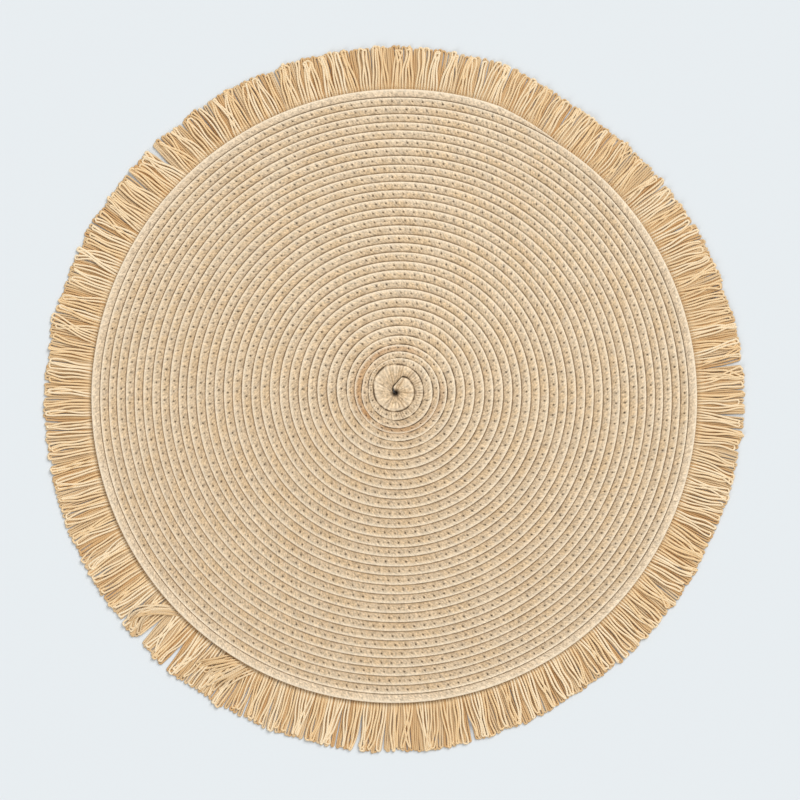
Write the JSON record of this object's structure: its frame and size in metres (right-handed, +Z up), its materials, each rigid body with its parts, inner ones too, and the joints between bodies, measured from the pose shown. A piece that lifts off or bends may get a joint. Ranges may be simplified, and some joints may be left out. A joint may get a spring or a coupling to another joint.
{
  "type": "round placemat with fringe",
  "caption": "Flat round placemat of braided cord coiled and sewn into a disc, with a looped yarn fringe sewn under its last row.",
  "frame": {"origin": "centre of the coil, on the flat underside", "axes": "+Z up out of the mat's upper side, +X to the right and +Y to the far side as the mat lies on a table"},
  "size_m": [0.381, 0.383, 0.0039],
  "materials": {
    "braid": "matte beige braided cord with a faint sheen on its strands",
    "yarn": "matte golden tan twisted yarn"
  },
  "bodies": {
    "root": {"coil": "braid", "fringe": "yarn"}
  },
  "joints": []
}
